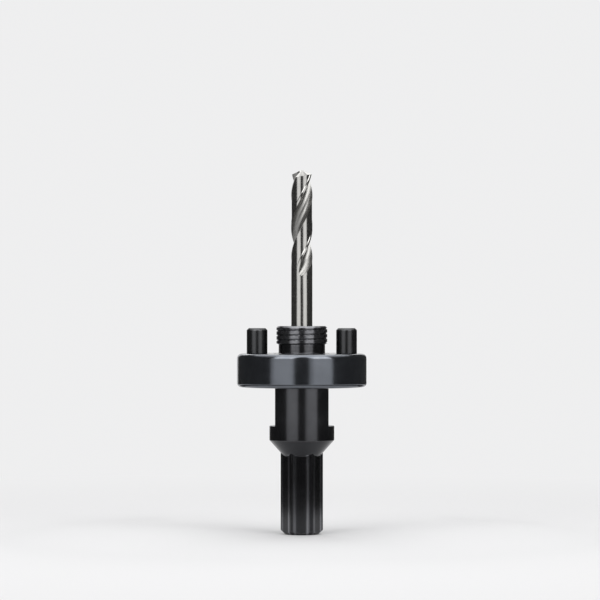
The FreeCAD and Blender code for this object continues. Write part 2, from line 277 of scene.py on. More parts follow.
def round_corners(corners, radii, closed=False, steps=5):
    """Replace each corner of many outlines at once by an arc.

    corners is (outlines, corners, 2), in millimetres. An arc starts and ends at
    radius * tan(half the turn) from its corner, and is a rational quadratic curve
    whose middle weight is cos(half the turn), which is an exact circle. It takes at
    most LONGEST_ARC of the shorter edge beside it. One more point on each side, at
    SUPPORT of a millimetre or of a shorter edge, keeps the flat beside the arc flat
    when it is shaded. Returns the points, and how much of an outer edge each one is:
    1 on a square outer edge, 0 on a flat and -1 in a square inner corner.
    """
    back = np.roll(corners, 1, axis=1) - corners
    ahead = np.roll(corners, -1, axis=1) - corners
    back_length = np.linalg.norm(back, axis=2, keepdims=True)
    ahead_length = np.linalg.norm(ahead, axis=2, keepdims=True)
    back = back / np.maximum(back_length, 1e-12)
    ahead = ahead / np.maximum(ahead_length, 1e-12)
    turn = np.pi - np.arccos(np.clip((back * ahead).sum(2, keepdims=True), -1, 1))
    shorter = np.minimum(back_length, ahead_length)
    reach = np.minimum(np.array(radii)[:, None] * np.tan(turn / 2), LONGEST_ARC * shorter)
    support = SUPPORT * np.minimum(1, shorter)

    start, end = corners + back * reach, corners + ahead * reach
    share = np.linspace(0, 1, steps)[:, None]
    first, last = (1 - share) ** 2, share**2
    middle = 2 * share * (1 - share) * np.cos(turn / 2)[:, :, None]
    arcs = first * start[:, :, None] + middle * corners[:, :, None] + last * end[:, :, None]
    arcs = arcs / (first + middle + last)
    before, after = (start + back * support)[:, :, None], (end + ahead * support)[:, :, None]
    points = np.concatenate([before, arcs, after], axis=2).reshape(len(corners), -1, 2)

    outer = np.sign(ahead[..., 0] * back[..., 1] - ahead[..., 1] * back[..., 0])
    squareness = np.clip(turn[..., 0] / (np.pi / 2), 0, 1) * (reach[..., 0] > 1e-6)
    edges = np.zeros(arcs.shape[:2] + (steps + 2,))
    edges[:, :, 1:-1] = (outer * squareness)[:, :, None]
    edges = edges.reshape(len(corners), -1)
    if not closed:
        per_corner = steps + 2
        points = points[:, per_corner:-per_corner]
        points = np.concatenate([corners[:, :1], points, corners[:, -1:]], axis=1)
        edges = np.pad(edges[:, per_corner:-per_corner], ((0, 0), (1, 1)))
    return points, edges


print("an arc takes at most", LONGEST_ARC, "of the edge beside it")

# %% [markdown]
# Nearly every piece of the arbor comes off a lathe: a profile carried round an axis.
# Blender's Screw modifier turns a profile too, but it keeps one radius all round. If
# the profile may lie at another radius in each direction, the same grid also makes a
# hexagon, or the flats that a milling cutter leaves on a round bar. The direction
# nearest to a crease is moved exactly onto it, so that the crease stays a clean line.

# %% Turning an outline round its axis


def directions(count, creases=()):
    """Evenly spaced angles round the axis, with the nearest ones moved to creases."""
    angles = np.arange(count) * 2 * np.pi / count
    for crease in creases:
        gap = np.abs((angles - crease + np.pi) % (2 * np.pi) - np.pi)
        angles[np.argmin(gap)] = crease
    return angles


def outlines(corners, angles):
    """(radius, height) corners, each a number or one number per direction.

    Returns (directions, corners, 2).
    """
    table = [[np.broadcast_to(value, angles.shape) for value in corner] for corner in corners]
    return np.array(table, float).transpose(2, 0, 1)


def around(profile, angles):
    """x = radius cos(angle) and y = radius sin(angle), as (rows, directions, 3)."""
    radius, height = profile[:, :, 0], profile[:, :, 1]
    turned = [radius * np.cos(angles)[:, None], radius * np.sin(angles)[:, None], height]
    return np.stack(turned, axis=2).transpose(1, 0, 2)


def lathe(corners, radii, count=96, steps=5):
    """Points and edge values of a piece turned from one outline."""
    angles = directions(count)
    profile, edges = round_corners(outlines(corners, angles), radii, steps=steps)
    return around(profile, angles), edges.T


trial_points, _ = lathe([(0, 0), (1, 0), (1, 2), (0, 2)], [0, 0.1, 0.1, 0])
print("a rounded rod is a grid of", trial_points.shape[:2], "points")

# %% [markdown]
# A grid of points becomes a closed mesh when each of its cells is a face. Numpy
# numbers all the faces at once, which is quick and leaves no loop to get wrong. The
# rows at the axis fall together in one point and are welded, and the signed volume
# tells whether the faces point outwards. Edges sharper than a given angle are marked,
# so that a flat and the flank of a thread don't shade into each other.

# %% From a grid of points to a mesh
WELD_DISTANCE = 2e-7
NO_LENGTH = 1e-8
SHARP_ANGLE = 38
AXIS_SHIFT = {"z": 0, "x": 1, "y": 2}


def tidy(mesh, sharp_over):
    """Weld points that meet, turn all faces outwards and mark the sharp edges."""
    work = bmesh.new()
    work.from_mesh(mesh)
    bmesh.ops.remove_doubles(work, verts=work.verts, dist=WELD_DISTANCE)
    bmesh.ops.dissolve_degenerate(work, edges=work.edges, dist=NO_LENGTH)
    if work.calc_volume(signed=True) < 0:
        bmesh.ops.reverse_faces(work, faces=work.faces)
    work.to_mesh(mesh)
    work.free()
    mesh.shade_smooth()
    mesh.set_sharp_from_angle(angle=np.radians(sharp_over))


def grid_mesh(name, points, marks=None, mark="edge", ring=False, sharp_over=SHARP_ANGLE, along="z",
              at=(0, 0, 0)):
    """A mesh from (rows, columns, 3) points in millimetres, whose columns close.

    A ring also closes from its last row to its first. Otherwise the first and last
    rows are poles. Points are worked out round Z. Along turns that axis to X or Y by
    passing the three coordinates on, which is a turn and not a mirror, and at is
    where the axis then starts. Marks are one number per point, which the mesh carries
    under the name mark for its finish to read.
    """
    points = np.roll(points, AXIS_SHIFT[along], axis=2) + np.array(at)
    rows, columns = points.shape[:2]
    first_rows = np.arange(rows if ring else rows - 1)
    row, column = np.meshgrid(first_rows, np.arange(columns), indexing="ij")
    up, side = (row + 1) % rows, (column + 1) % columns
    cells = [row * columns + column, row * columns + side, up * columns + side, up * columns + column]
    faces = np.stack(cells, axis=2).reshape(-1, 4)
    mesh = bpy.data.meshes.new(name)
    mesh.from_pydata((points.reshape(-1, 3) * MM).tolist(), [], faces.tolist())
    if marks is not None:
        mesh.attributes.new(mark, "FLOAT", "POINT").data.foreach_set("value", marks.ravel())
    tidy(mesh, sharp_over)
    return mesh


trial_mesh = grid_mesh("trial_rod", trial_points)
print("and welded it has", len(trial_mesh.vertices), "points and", len(trial_mesh.polygons), "faces")
bpy.data.meshes.remove(trial_mesh)

# %% [markdown]
# Some holes cross the grid, such as the tapped hole in the side of the neck. Moving
# the grid's points round such a hole would bend the flat beside it, so the hole is
# cut afterwards with an exact Boolean, as a drill would. The modifier's result is
# copied into a new mesh, and the helpers are thrown away.

# %% Cutting holes


def drill_tool(name, corners, count, along="z", at=(0, 0, 0)):
    """The shape that a drill takes away, turned from an outline with sharp corners."""
    points, _ = lathe(corners, [0] * len(corners), count, steps=2)
    return grid_mesh(name, points, along=along, at=at)


def cut(mesh, tools):
    """Take the tools' meshes away from the mesh with exact Booleans."""
    blank = bpy.data.objects.new("blank", mesh)
    helpers = [blank]
    for tool_mesh in tools:
        tool = bpy.data.objects.new("tool", tool_mesh)
        helpers.append(tool)
        modifier = blank.modifiers.new("cut", "BOOLEAN")
        modifier.operation = "DIFFERENCE"
        modifier.solver = "EXACT"
        modifier.object = tool
    for helper in helpers:
        bpy.context.scene.collection.objects.link(helper)
    evaluated = blank.evaluated_get(bpy.context.evaluated_depsgraph_get())
    result = bpy.data.meshes.new_from_object(evaluated)
    for helper in helpers:
        bpy.data.objects.remove(helper)
    tidy(result, SHARP_ANGLE)
    return result


print("holes are cut with exact Booleans and marked sharp over", SHARP_ANGLE, "degrees")

# %% [markdown]
# A finished mesh stands for one packed piece. It rides on the body that moves that
# piece, so that the pins go down with the plate. It takes the place of the packed
# solid, which is hidden, and it gets the finish that is passed with it. Each is one
# call of a single function for all the pieces.

# %% Showing a piece


def show(name, mesh, body, node, material):
    """Put a mesh in the scene as the visible form of one packed node."""
    piece = bpy.data.objects.new(name, mesh)
    bpy.context.scene.collection.objects.link(piece)
    mesh.materials.clear()
    mesh.materials.append(material)
    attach(piece, body)
    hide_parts(node)
    print(name, "has", len(mesh.polygons), "faces and rides on", body)


# %% [markdown]
# Black oxide is a dark skin, a thousandth of a millimetre thick, that is grown on the
# steel in a hot bath and then oiled. It could be shaded as black paint, but the shine
# of the steel comes through it, so it is a metal of a very dark, bluish tone. Three
# things break up that tone: slow clouds that the bath leaves, rings that the lathe
# left under the skin, and bare steel that shows faintly where edges were handled. The
# edges are known from the outlines, which carry a number where they are round, so
# the wear needs no guess from the finished shape.

# %% Black oxide
WORN_STEEL = (0.26, 0.26, 0.265)
OXIDE_METALLIC = 0.95
OXIDE_RING_SCALE = 6.0
RELIEF_MM = 0.02


def oxide_clouds(finish, vector):
    """Slow changes of the skin, several millimetres across."""
    return finish.noise(vector, 0.16, detail=3.0)


def oxide_colour(finish, tone, clouds, marks):
    """The tone, up to a fifth darker or lighter in the clouds and along the marks."""
    patches = clouds.between(0.3, 0.7) * 0.6 + marks.between(0.3, 0.7) * 0.4
    return finish.mix(patches, shade(tone, 0.82), shade(tone, 1.22))


def lay_oxide(finish, vector, colour, roughness, clouds, marks):
    """Wear the outer edges through to the steel, and hand all of it to the shader.

    Clouds and marks make the skin a little rougher or smoother, and wear polishes it.
    """
    worn = finish.attribute("edge") * finish.noise(vector, 1.1).between(0.35, 0.65)
    finish.set({
        "Base Color": finish.mix(worn.between(0.0, 1.0) * 0.55, colour, shade(WORN_STEEL)),
        "Metallic": OXIDE_METALLIC,
        "Roughness": roughness + (clouds - 0.5) * 0.12 + (marks - 0.5) * 0.10 - worn * 0.08,
        "Normal": finish.bump(marks, 0.35, RELIEF_MM),
    })
    return finish.material


def black_oxide(name, tone, roughness, ring_scale=OXIDE_RING_SCALE):
    """Dark metal with turning rings round Z, clouds in the skin and worn edges."""
    finish = Finish(name)
    vector, (x, y, z) = finish.place()
    rings = finish.rings(x, y, z, ring_scale)
    clouds = oxide_clouds(finish, vector)
    colour = oxide_colour(finish, tone, clouds, rings)
    return lay_oxide(finish, vector, colour, roughness, clouds, rings)


plate_black = black_oxide("black oxide on the plate", (0.114, 0.123, 0.139), 0.16)
pin_black = black_oxide("black oxide on the pins", (0.055, 0.056, 0.058), 0.26)
screw_black = black_oxide("black oxide on screws", (0.060, 0.061, 0.064), 0.34, ring_scale=3.0)
for material in (plate_black, pin_black, screw_black):
    print(material.name, "has", len(material.node_tree.nodes), "nodes")

# %% [markdown]
# The shank is a hexagon, 11 mm across its flats, so that it can't slip in a drill
# chuck. A six-sided cylinder with a Bevel could be joined to the round parts by a
# Boolean, with a ragged seam. Instead the hexagon is a radius for each direction, so
# shank, cone and collar share one grid, and the scallops where the cone meets the six
# flats come by themselves. The nearest directions of the grid are moved onto the
# rounded corners and onto the edges of the two flats that are milled on the neck.

# %% The hexagon, direction by direction
SIXTH_TURN = np.pi / 3
HEX_FLAT = 5.5
HEX_CORNER_ROUND = 0.3
HEX_CORNER_CENTRE = (HEX_FLAT - HEX_CORNER_ROUND) / np.cos(SIXTH_TURN / 2)
HEX_CORNER_TURN = np.arctan2(HEX_CORNER_ROUND * np.sin(SIXTH_TURN / 2),
                             HEX_CORNER_CENTRE + HEX_CORNER_ROUND * np.cos(SIXTH_TURN / 2))

_, body_high = box_mm("arbor_body")
COLLAR_RADIUS = body_high[0]
NECK_FLAT = 7.95


def from_nearest_corner(angles):
    """Each direction's turn from the nearest corner of a hexagon with a corner on X."""
    return np.abs((angles + SIXTH_TURN / 2) % SIXTH_TURN - SIXTH_TURN / 2)


def hexagon_radius(angles):
    """Radius of the hexagon bar with its rounded corners.

    On a flat it is half the width / cos(turn from the flat's middle). Near a corner
    it is the far side of a small circle that touches both flats.
    """
    turn = from_nearest_corner(angles)
    flat = HEX_FLAT / np.cos(SIXTH_TURN / 2 - turn)
    beside = HEX_CORNER_CENTRE * np.sin(turn)
    half_chord = np.sqrt(np.maximum(HEX_CORNER_ROUND**2 - beside**2, 0))
    corner = HEX_CORNER_CENTRE * np.cos(turn) + half_chord
    return np.where(turn < HEX_CORNER_TURN, corner, flat)


def flat_radius(angles, radius, flat):
    """A round bar with two flats that face X: the radius, or flat / |cos(angle)|."""
    return np.minimum(radius, flat / np.maximum(np.abs(np.cos(angles)), 1e-9))


def flat_creases(radius, flat):
    """The four directions in which two flats end on a round bar."""
    half_width = np.arccos(flat / radius)
    return [side + turn for side in (0, np.pi) for turn in (-half_width, half_width)]


corner_turns = (-HEX_CORNER_TURN, 0, HEX_CORNER_TURN)
hex_creases = [k * SIXTH_TURN + turn for k in range(6) for turn in corner_turns]
body_creases = hex_creases + flat_creases(COLLAR_RADIUS, NECK_FLAT)
body_angles = directions(count=288, creases=body_creases)
hexagon = hexagon_radius(body_angles)
neck = flat_radius(body_angles, COLLAR_RADIUS, NECK_FLAT)
print("hexagon", round(hexagon.max() * 2, 2), "mm over its corners")
print("neck", round(neck.min() * 2, 2), "mm over its flats")

# %% [markdown]
# Above the hexagon the bar widens in a cone to the collar, where the plate comes to
# rest. Then comes the neck with its two milled flats, and a relief where the thread
# cutter could run out. All of it is one outline, read from the foot up: a corner is a
# radius and a height, and either may differ with the direction. The cone starts
# higher over a corner of the hexagon than over a flat, just as it does when a cone is
# turned on real hexagon bar.

# %% The bar from its foot to the relief
plate_low, plate_high = box_mm("drive_plate")
SHANK_END_RADIUS = 5.0
CONE_BASE = 23.4
COLLAR_BASE = CONE_BASE + 4.7
COLLAR_TOP = COLLAR_BASE + 4.3
NECK_TOP = plate_high[2]
NECK_CHAMFER = 0.3
RELIEF_RADIUS = 6.95
NOSE_BASE = NECK_TOP + 2.7

cone_rise = (COLLAR_BASE - CONE_BASE) / (COLLAR_RADIUS - HEX_FLAT)
neck_edge = COLLAR_RADIUS - NECK_CHAMFER
bar_corners = [
    (0, 0),
    (SHANK_END_RADIUS, 0),
    (hexagon, hexagon - SHANK_END_RADIUS),
    (hexagon, CONE_BASE + (hexagon - HEX_FLAT) * cone_rise),
    (COLLAR_RADIUS, COLLAR_BASE),
    (COLLAR_RADIUS, COLLAR_TOP),
    (neck, COLLAR_TOP),
    (neck, NECK_TOP - np.maximum(neck - neck_edge, 0)),
    (np.minimum(neck, neck_edge), NECK_TOP),
    (RELIEF_RADIUS, NECK_TOP),
    (RELIEF_RADIUS, NOSE_BASE),
]
bar_radii = [0, 0.15, 0.25, 0.3, 0.25, 0.2, 0.3, 0.15, 0.15, 0.35, 0]
bar, bar_edges = round_corners(outlines(bar_corners, body_angles), bar_radii)
print("the bar's outline has", bar.shape[1], "points in each of", bar.shape[0], "directions")

# %% [markdown]
# The saw screws onto the nose. A thread could be a helix swept along the nose and
# joined to it, which leaves thin slivers where it starts and ends. It is cleaner to
# let the radius depend on height and direction together: going once round, the same
# radius is found one pitch higher. Where the chamfer or the shoulder lies deeper than
# the thread, it wins, and so the thread fades out at both ends as a real one does.
# In the photograph the crests are blurred away, so this thread is a shallow one.

# %% The threaded nose
NOSE_RADIUS = 7.9375
NOSE_TOP = body_high[2]
NOSE_CHAMFER = 0.8
SHOULDER_SLOPE = 2
THREAD_RADIUS = 7.62
THREAD_PITCH = 25.4 / 18
THREAD_DEPTH = 0.32
ROOT_HALF_WIDTH = 0.04
FLANK_END = 0.17
CREST_WEAR_DEPTH = 0.05
NOSE_ROWS = 112


def thread_radius(angles, heights, crest, pitch, depth):
    """A right-hand 60 degree thread, as (heights, angles).

    The turn number at a height is height / pitch - angle / full turn. Its fraction
    runs across one thread: half a crest, a flank, the root, a flank, half a crest.
    """
    turns = heights[:, None] / pitch - angles[None, :] / (2 * np.pi)
    from_root = np.abs(turns % 1.0 - 0.5)
    share = (FLANK_END - from_root) / (FLANK_END - ROOT_HALF_WIDTH)
    return crest - depth * np.clip(share, 0, 1)


nose_heights = np.linspace(NOSE_BASE, NOSE_TOP, NOSE_ROWS)
shoulder = RELIEF_RADIUS + (nose_heights - NOSE_BASE) * SHOULDER_SLOPE
chamfer = NOSE_RADIUS + NOSE_TOP - NOSE_CHAMFER - nose_heights
uncut = np.minimum(np.minimum(THREAD_RADIUS, shoulder), chamfer)[:, None]
threaded = thread_radius(body_angles, nose_heights, THREAD_RADIUS, THREAD_PITCH, THREAD_DEPTH)
nose_radius = np.minimum(uncut, threaded).T
nose = np.stack([nose_radius, np.broadcast_to(nose_heights, nose_radius.shape)], axis=2)
crest_wear = np.clip(1 - (uncut - threaded).T / CREST_WEAR_DEPTH, 0, 1) * 0.5
print("thread of", round((NOSE_TOP - NOSE_BASE) / THREAD_PITCH, 1), "turns,", THREAD_DEPTH, "mm deep")

# %% [markdown]
# The drill sits in a bore down the middle of the bar, which ends in the cone of the
# drill that made it. It could be cut out with a Boolean, but it is round about the
# same axis as the rest, so the outline simply goes on: across the nose's end, over a
# chamfer and down inside to the axis. Joined to the bar and the thread, it makes one
# closed grid. Only the tapped hole for the grub screw lies across the axis, and that
# one is cut.

# %% The bore, and the whole body
drill_low, drill_high = box_mm("pilot_drill")
grub_low, grub_high = box_mm("drill_set_screw")
BORE_RADIUS = drill_high[0] + 0.05
BORE_MOUTH = 0.4
BORE_FLOOR = drill_low[2] - 0.3
BORE_POINT = BORE_FLOOR - BORE_RADIUS / np.tan(np.radians(118 / 2))
SCREW_RADIUS = 3.0
SCREW_HEIGHT = grub_low[2] + SCREW_RADIUS
THREAD_CLEARANCE = 0.05
COUNTERSINK = 0.3

bore_corners = [
    (NOSE_RADIUS - NOSE_CHAMFER, NOSE_TOP),
    (BORE_RADIUS + BORE_MOUTH, NOSE_TOP),
    (BORE_RADIUS, NOSE_TOP - BORE_MOUTH),
    (BORE_RADIUS, BORE_FLOOR),
    (0, BORE_POINT),
]
bore, bore_edges = round_corners(outlines(bore_corners, body_angles), [0, 0.1, 0.1, 0.2, 0])
body_points = around(np.concatenate([bar, nose, bore], axis=1), body_angles)
body_edges = np.concatenate([bar_edges, crest_wear, bore_edges], axis=1).T
body_mesh = grid_mesh("turned_body", body_points, body_edges)

hole_radius = SCREW_RADIUS + THREAD_CLEARANCE
inside_bore, past_bar, overrun = 1.0, 12.0, 0.5
mouth_radius = hole_radius + COUNTERSINK + overrun
screw_hole = drill_tool("screw_hole", [
    (0, inside_bore),
    (hole_radius, inside_bore),
    (hole_radius, NECK_FLAT - COUNTERSINK),
    (mouth_radius, NECK_FLAT + overrun),
    (mouth_radius, past_bar),
    (0, past_bar),
], count=64, along="x", at=(0, 0, SCREW_HEIGHT))
body_mesh = cut(body_mesh, [screw_hole])
print("body with its tapped hole:", len(body_mesh.vertices), "points")

# %% [markdown]
# The bar was drawn through a die before it was turned, and the hexagon keeps that
# drawn skin: fine lines run along it. Two light stripes on each flat are painted
# highlights. Above it the lathe's rings take over. The threaded nose is painted
# lighter and everything below the collar darker: painted light and painted shade.
# Several materials could share the mesh, but their borders would be hard steps from
# face to face. One material that looks at its own height blends from one treatment
# to the next, and every layer below is one mix.

# %% The body's own finish
BODY_TONE = (0.070, 0.071, 0.076)
PAINTED_HIGHLIGHT_STRIPES = ((-2.15, 0.42, 0.55), (1.75, 0.40, 1.0))


def painted_highlight_stripes(x, y):
    """Painted highlights: two light stripes along each flat of the hexagon.

    The direction round the bar is folded into one sixth of a turn, whose tangent
    gives the place across a flat in millimetres. PAINTED_HIGHLIGHT_STRIPES has each line's place,
    width and strength, and a line is strength / (1 + (distance / width)^4).
    """
    sixths = y.math("ARCTAN2", x) / SIXTH_TURN + 6
    folded = (sixths.math("FRACT") - 0.5) * SIXTH_TURN
    across = folded.math("TANGENT") * HEX_FLAT
    lines = []
    for place, width, strength in PAINTED_HIGHLIGHT_STRIPES:
        distance = (across - place) / width
        square = distance * distance
        lines.append(strength / (1 + square * square))
    return lines[0] + lines[1]


def bar_oxide(name, tone, roughness):
    """Black oxide on a bar drawn below, turned above and threaded on top, with painted light and shade."""
    finish = Finish(name)
    vector, (x, y, z) = finish.place()
    turned = z.between(CONE_BASE + 0.2, CONE_BASE + 0.6)
    drawn = 1 - turned
    lines = finish.noise(finish.vector(x, y, z * 0.02), 2.2, detail=3.0)
    marks = finish.rings(x, y, z, OXIDE_RING_SCALE) * turned + lines * drawn
    clouds = oxide_clouds(finish, vector)
    colour = oxide_colour(finish, tone, clouds, marks)

    # Painted shade: the cone and the hexagon below the collar are painted darker.
    painted_shade_below_collar = 1 - z.between(COLLAR_BASE - 0.1, COLLAR_BASE + 0.2)
    colour = finish.mix(painted_shade_below_collar * 0.6, colour, shade(tone, 0.4))
    colour = finish.mix(drawn * 0.4, colour, shade(tone, 0.4))
    # Painted highlights: two light stripes on each flat of the hexagon.
    painted_highlights = painted_highlight_stripes(x, y) * (0.55 + 0.45 * lines.between(0.3, 0.6))
    colour = finish.mix(drawn * painted_highlights, colour, shade(tone, 3.4))
    # Painted light: the threaded nose is painted lighter than the neck.
    painted_light_on_nose = z.between(NOSE_BASE - 0.2, NOSE_BASE + 0.1)
    colour = finish.mix(painted_light_on_nose * 0.8, colour, shade(tone, 2.2))
    return lay_oxide(finish, vector, colour, roughness, clouds, marks)


body_black = bar_oxide("black oxide on bar steel", BODY_TONE, 0.19)
show("turned_body", body_mesh, "arbor", "arbor_body", body_black)
print(body_black.name, "has", len(body_black.node_tree.nodes), "nodes")

# %% [markdown]
# The drive plate is a thick disc that slides on the neck. Its bore has the neck's two
# flats, a little wider, so it can slide but not turn. A cylinder minus a flattened
# cylinder would do, but then its many edges would need rounding one by one. Here the
# cross section of the ring is a closed outline with four rounded corners, and its
# inner side lies at the radius of the flats: a ring of such outlines is the plate.

# %% The ring of the drive plate
PLATE_RADIUS, PLATE_BOTTOM, PLATE_TOP = plate_high[0], plate_low[2], plate_high[2]
SLIDE_CLEARANCE = 0.08
SLIDE_RADIUS = COLLAR_RADIUS + SLIDE_CLEARANCE
SLIDE_FLAT = NECK_FLAT + SLIDE_CLEARANCE
PLATE_WEAR = 0.25

plate_angles = directions(count=240, creases=flat_creases(SLIDE_RADIUS, SLIDE_FLAT))
slide = flat_radius(plate_angles, SLIDE_RADIUS, SLIDE_FLAT)
ring_outline = outlines([
    (PLATE_RADIUS, PLATE_BOTTOM),
    (PLATE_RADIUS, PLATE_TOP),
    (slide, PLATE_TOP),
    (slide, PLATE_BOTTOM),
], plate_angles)
ring_radii = [1.2, 1.4, 0.25, 0.25]
ring_profile, ring_edges = round_corners(ring_outline, ring_radii, closed=True, steps=9)
ring_points = around(ring_profile, plate_angles)
plate_mesh = grid_mesh("sliding_plate", ring_points, ring_edges.T * PLATE_WEAR, ring=True)
print("plate", round(PLATE_RADIUS * 2, 2), "mm wide and", round(PLATE_TOP - PLATE_BOTTOM, 2), "mm thick")

# %% [markdown]
# The real plate is drilled three more times: two holes for the drive pins, and one
# from the rim at the back, stepped and tapped, for the ball that holds the plate where
# it is slid. They stand across or beside the ring's own grid, so they are cut as on a
# drilling machine. Each tool runs past the metal at both ends, because two faces in
# one plane are what an exact Boolean likes least.

# %% The holes in the plate
pin_low, pin_high = box_mm("drive_pin_right")
ball_low, ball_high = box_mm("detent_ball")
detent_low, detent_high = box_mm("detent_screw")
PIN_OFFSET = (pin_low[0] + pin_high[0]) / 2
PIN_SHANK = 2.5
PIN_CLEARANCE = 0.02
DETENT_HEIGHT = (ball_low[2] + ball_high[2]) / 2
BALL_RADIUS = (ball_high[2] - ball_low[2]) / 2
BALL_CLEARANCE = 0.1
DETENT_RADIUS = detent_high[0]
PAST_PLATE = 1.0


def pin_hole(x):
    """The tool for one pin's hole, with a small countersink at the underside."""
    radius = PIN_SHANK + PIN_CLEARANCE
    low, high = PLATE_BOTTOM - PAST_PLATE, PLATE_TOP + PAST_PLATE
    mouth = radius + COUNTERSINK + PAST_PLATE
    corners = [(0, low), (mouth, low), (radius, PLATE_BOTTOM + COUNTERSINK), (radius, high), (0, high)]
    return drill_tool("pin_hole", corners, count=64, at=(x, 0, 0))


ball_hole = BALL_RADIUS + BALL_CLEARANCE
tapped_hole = DETENT_RADIUS + THREAD_CLEARANCE
tapped_floor = detent_low[1] - THREAD_CLEARANCE
tapped_mouth = tapped_hole + COUNTERSINK + PAST_PLATE
detent_hole = drill_tool("detent_hole", [
    (0, SLIDE_FLAT),
    (ball_hole, SLIDE_FLAT),
    (ball_hole, tapped_floor),
    (tapped_hole, tapped_floor),
    (tapped_hole, PLATE_RADIUS - COUNTERSINK),
    (tapped_mouth, PLATE_RADIUS + PAST_PLATE),
    (0, PLATE_RADIUS + PAST_PLATE),
], count=48, along="y", at=(0, 0, DETENT_HEIGHT))
plate_mesh = cut(plate_mesh, [pin_hole(-PIN_OFFSET), pin_hole(PIN_OFFSET), detent_hole])
show("sliding_plate", plate_mesh, "plate", "drive_plate", plate_black)

# %% [markdown]
# The two drive pins reach into holes in the back of the saw and turn it, so that the
# thread doesn't have to. A pin is a ground rod with a thinner shank, pressed into the
# plate from above, and a chamfered head. Two cylinders would show a gap or a doubled
# face where they meet; one stepped outline, turned, is the pin as the lathe makes it.
# Both pins are the same turned shape at two places, so one function makes both.

# %% The drive pins
PIN_HEAD = (pin_high[0] - pin_low[0]) / 2
PIN_FOOT, PIN_TOP = pin_low[2], pin_high[2]
PIN_CHAMFER = 0.6


def drive_pin(name, x):
    """A stepped rod turned round an axis beside the arbor's own."""
    points, edges = lathe([
        (0, PIN_FOOT),
        (PIN_SHANK, PIN_FOOT),
        (PIN_SHANK, PLATE_TOP),
        (PIN_HEAD, PLATE_TOP),
        (PIN_HEAD, PIN_TOP - PIN_CHAMFER),
        (PIN_HEAD - PIN_CHAMFER, PIN_TOP),
        (0, PIN_TOP),
    ], [0, 0.4, 0.05, 0.15, 0.25, 0.25, 0])
    return grid_mesh(name, points, edges, at=(x, 0, 0))


for side, x in (("left", -PIN_OFFSET), ("right", PIN_OFFSET)):
    pin_mesh = drive_pin("pin_" + side, x)
    show("pin_" + side, pin_mesh, "plate", "drive_pin_" + side, pin_black)
print("pins stand", round(PIN_TOP - PLATE_TOP, 2), "mm above the plate")

# %% [markdown]
# Two grub screws hide in the arbor. One clamps the drill from the flat of the neck,
# the other shuts the ball's hole in the rim. A grub screw is a short length of thread
# with a cup at its tip and a hexagon socket in its end. It could be a plain stud with
# a bump map for the thread, but its edge in the light would give that away. The
# thread is the same function as on the nose, and the socket is the same trick as the
# hexagon shank, only on the way back in to the axis.

# %% The grub screws
CUP_DEPTH = 0.3
SOCKET_CHAMFER = 0.12
THREAD_SHARE = 0.58
DRILLED_FLOOR = 0.45
CUP_INSET = 1.3
SCREW_ROWS = 90


def grub_screw(radius, pitch, tip, end, across_flats, socket_depth):
    """Points of a socket grub screw along Z, from its tip to its socket end.

    The side is the least of three radii: the chamfer at the tip, the chamfer at the
    end, and the thread, which is THREAD_SHARE of its pitch deep. The socket's radius
    is half its width / cos(turn from a flat's middle), down to a drilled cone.
    """
    angles = directions(count=144, creases=[k * SIXTH_TURN for k in range(6)])
    socket = across_flats / 2 / np.cos(SIXTH_TURN / 2 - from_nearest_corner(angles))
    tip_chamfer, end_chamfer = radius / 3, radius / 6
    heights = np.linspace(tip, end, SCREW_ROWS)
    tip_side = radius - tip_chamfer + (heights - tip)
    end_side = radius - end_chamfer + (end - heights)
    plain = np.minimum(np.minimum(radius, tip_side), end_side)[:, None]
    thread = thread_radius(angles, heights, radius, pitch, THREAD_SHARE * pitch)
    side = np.minimum(plain, thread).T
    side = np.stack([side, np.broadcast_to(heights, side.shape)], axis=2)
    cup = outlines([(0, tip + CUP_DEPTH), (radius - CUP_INSET * tip_chamfer, tip)], angles)
    floor = end - socket_depth
    inside, _ = round_corners(outlines([
        (radius - end_chamfer, end),
        (socket + SOCKET_CHAMFER, end),
        (socket, end - SOCKET_CHAMFER),
        (socket, floor),
        (0, floor - DRILLED_FLOOR * across_flats / 2),
    ], angles), [0, 0.05, 0.05, 0.1, 0], steps=3)
    return around(np.concatenate([cup, side, inside], axis=1), angles)


drill_screw = grub_screw(
    SCREW_RADIUS, 1.0, grub_low[0], grub_high[0], across_flats=3.0, socket_depth=2.5)
drill_screw_mesh = grid_mesh("drill_grub_screw", drill_screw, along="x", at=(0, 0, SCREW_HEIGHT))
show("drill_grub_screw", drill_screw_mesh, "arbor", "drill_set_screw", screw_black)

ball_screw = grub_screw(
    DETENT_RADIUS, 0.7, detent_low[1], detent_high[1], across_flats=2.0, socket_depth=1.5)
ball_screw_mesh = grid_mesh("detent_grub_screw", ball_screw, along="y", at=(0, 0, DETENT_HEIGHT))
show("detent_grub_screw", ball_screw_mesh, "plate", "detent_screw", screw_black)

# %% [markdown]
# Bright steel is the same metal without its black skin. What tells one piece from
# another is how it was finished: the drill is ground and shows fine rings, the ball
# is lapped until it mirrors, and the spring is drawn wire. One recipe makes all
# three, from a tone, a roughness and the size of its marks. The flutes of the drill
# were cut by a rougher wheel, so they are rougher, and their hollows are painted
# darker as painted shade, wherever the mesh itself says that it has a flute.

# %% Bright steel
GROUND_RELIEF_MM = 0.01


